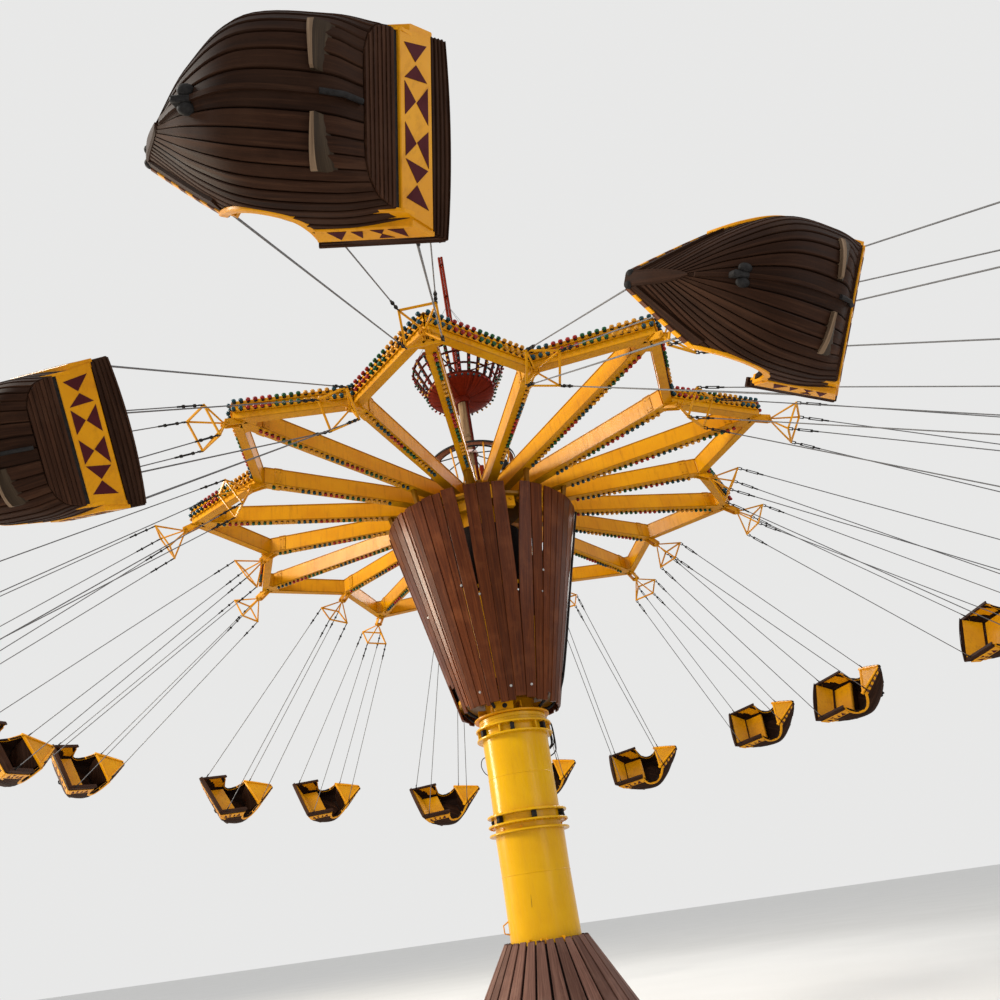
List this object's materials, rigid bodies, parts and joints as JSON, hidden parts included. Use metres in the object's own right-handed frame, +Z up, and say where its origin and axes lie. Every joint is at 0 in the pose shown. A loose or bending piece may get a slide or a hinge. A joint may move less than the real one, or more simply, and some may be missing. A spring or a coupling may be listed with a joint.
{
  "type": "flying boat swing ride",
  "caption": "Fairground swing ride: a steel mast carries a turning star with boats that swing out on steel cables, over a slatted base and a planked cone.",
  "frame": {"origin": "centre of the mast's foot flange, on its underside, at ground level", "axes": "+Z up along the mast and the star's axis; -Y along arm 1"},
  "size_m": [18.2467, 18.7886, 13.86],
  "materials": {
    "gold_paint": "glossy golden-yellow paint",
    "steel": "satin",
    "slats": "matt purplish-brown stained boards",
    "planks": "satin dark reddish-brown boards",
    "hull_wood": "satin dark brown planking",
    "pole_wood": "weathered wood",
    "rubber": "black rubber sheath",
    "nest_wood": "red-brown stained wood"
  },
  "bodies": {
    "mast": {"foot_plate": "gold_paint", "mast_lower": "gold_paint", "mast_joint_ring": "gold_paint", "mast_upper": "gold_paint", "slewing_bearing": "steel", "power_lead": "rubber", "base_skirt": "slats"},
    "star": {"turning_head": "gold_paint", "drive_motor": "gold_paint", "cone_cladding": "planks", "cone_frame": "gold_paint", "hub_deck": "gold_paint", "star_sector_1": "gold_paint", "star_sector_2": "gold_paint", "star_sector_3": "gold_paint", "star_sector_4": "gold_paint", "nest_pole": "pole_wood", "nest_bowl": "nest_wood", "nest_basket": "nest_wood", "dome_cage": "pole_wood"},
    "boat_01": {"hanger_01": "gold_paint", "boat_01": "hull_wood"},
    "boat_02": {"hanger_02": "gold_paint", "boat_02": "hull_wood"},
    "boat_03": {"hanger_03": "gold_paint", "boat_03": "hull_wood"},
    "boat_04": {"hanger_04": "gold_paint", "boat_04": "hull_wood"},
    "boat_05": {"hanger_05": "gold_paint", "boat_05": "hull_wood"},
    "boat_06": {"hanger_06": "gold_paint", "boat_06": "hull_wood"},
    "boat_07": {"hanger_07": "gold_paint", "boat_07": "hull_wood"},
    "boat_08": {"hanger_08": "gold_paint", "boat_08": "hull_wood"},
    "boat_09": {"hanger_09": "gold_paint", "boat_09": "hull_wood"},
    "boat_10": {"hanger_10": "gold_paint", "boat_10": "hull_wood"},
    "boat_11": {"hanger_11": "gold_paint", "boat_11": "hull_wood"},
    "boat_12": {"hanger_12": "gold_paint", "boat_12": "hull_wood"},
    "boat_13": {"hanger_13": "gold_paint", "boat_13": "hull_wood"},
    "boat_14": {"hanger_14": "gold_paint", "boat_14": "hull_wood"},
    "boat_15": {"hanger_15": "gold_paint", "boat_15": "hull_wood"},
    "boat_16": {"hanger_16": "gold_paint", "boat_16": "hull_wood"},
    "boat_17": {"hanger_17": "gold_paint", "boat_17": "hull_wood"},
    "boat_18": {"hanger_18": "gold_paint", "boat_18": "hull_wood"},
    "boat_19": {"hanger_19": "gold_paint", "boat_19": "hull_wood"},
    "boat_20": {"hanger_20": "gold_paint", "boat_20": "hull_wood"}
  },
  "joints": [
    {"name": "star_spin", "type": "hinge", "parent": "mast", "child": "star", "pos_m": [0, 0, 4.175], "axis": [0, 0, -1], "continuous": true},
    {"name": "swing_01", "type": "hinge", "parent": "star", "child": "boat_01", "pos_m": [0, -4.745, 7.525], "axis": [-1, 0, 0], "range_deg": [-59.3, 5.7]},
    {"name": "swing_02", "type": "hinge", "parent": "star", "child": "boat_02", "pos_m": [-1.18972, -3.66157, 7.525], "axis": [-0.9511, 0.309, 0], "range_deg": [-54.5, 10.5]},
    {"name": "swing_03", "type": "hinge", "parent": "star", "child": "boat_03", "pos_m": [-2.78904, -3.83879, 7.525], "axis": [-0.809, 0.5878, 0], "range_deg": [-57, 8]},
    {"name": "swing_04", "type": "hinge", "parent": "star", "child": "boat_04", "pos_m": [-3.11471, -2.26297, 7.525], "axis": [-0.5878, 0.809, 0], "range_deg": [-54, 11]},
    {"name": "swing_05", "type": "hinge", "parent": "star", "child": "boat_05", "pos_m": [-4.51276, -1.46629, 7.525], "axis": [-0.309, 0.9511, 0], "range_deg": [-57, 8]},
    {"name": "swing_06", "type": "hinge", "parent": "star", "child": "boat_06", "pos_m": [-3.85, 0, 7.525], "axis": [0, 1, 0], "range_deg": [-58, 7]},
    {"name": "swing_07", "type": "hinge", "parent": "star", "child": "boat_07", "pos_m": [-4.51276, 1.46629, 7.525], "axis": [0.309, 0.9511, 0], "range_deg": [-61.5, 3.5]},
    {"name": "swing_08", "type": "hinge", "parent": "star", "child": "boat_08", "pos_m": [-3.11471, 2.26297, 7.525], "axis": [0.5878, 0.809, 0], "range_deg": [-53, 12]},
    {"name": "swing_09", "type": "hinge", "parent": "star", "child": "boat_09", "pos_m": [-2.78904, 3.83879, 7.525], "axis": [0.809, 0.5878, 0], "range_deg": [-54.5, 10.5]},
    {"name": "swing_10", "type": "hinge", "parent": "star", "child": "boat_10", "pos_m": [-1.18972, 3.66157, 7.525], "axis": [0.9511, 0.309, 0], "range_deg": [-47.5, 17.5]},
    {"name": "swing_11", "type": "hinge", "parent": "star", "child": "boat_11", "pos_m": [0, 4.745, 7.525], "axis": [1, 0, 0], "range_deg": [-54.5, 10.5]},
    {"name": "swing_12", "type": "hinge", "parent": "star", "child": "boat_12", "pos_m": [1.18972, 3.66157, 7.525], "axis": [0.9511, -0.309, 0], "range_deg": [-49.5, 15.5]},
    {"name": "swing_13", "type": "hinge", "parent": "star", "child": "boat_13", "pos_m": [2.78904, 3.83879, 7.525], "axis": [0.809, -0.5878, 0], "range_deg": [-57, 8]},
    {"name": "swing_14", "type": "hinge", "parent": "star", "child": "boat_14", "pos_m": [3.11471, 2.26297, 7.525], "axis": [0.5878, -0.809, 0], "range_deg": [-55, 10]},
    {"name": "swing_15", "type": "hinge", "parent": "star", "child": "boat_15", "pos_m": [4.51276, 1.46629, 7.525], "axis": [0.309, -0.9511, 0], "range_deg": [-60, 5]},
    {"name": "swing_16", "type": "hinge", "parent": "star", "child": "boat_16", "pos_m": [3.85, 0, 7.525], "axis": [0, -1, 0], "range_deg": [-55, 10]},
    {"name": "swing_17", "type": "hinge", "parent": "star", "child": "boat_17", "pos_m": [4.51276, -1.46629, 7.525], "axis": [-0.309, -0.9511, 0], "range_deg": [-57, 8]},
    {"name": "swing_18", "type": "hinge", "parent": "star", "child": "boat_18", "pos_m": [3.11471, -2.26297, 7.525], "axis": [-0.5878, -0.809, 0], "range_deg": [-54, 11]},
    {"name": "swing_19", "type": "hinge", "parent": "star", "child": "boat_19", "pos_m": [2.78904, -3.83879, 7.525], "axis": [-0.809, -0.5878, 0], "range_deg": [-57, 8]},
    {"name": "swing_20", "type": "hinge", "parent": "star", "child": "boat_20", "pos_m": [1.18972, -3.66157, 7.525], "axis": [-0.9511, -0.309, 0], "range_deg": [-54.5, 10.5]}
  ]
}
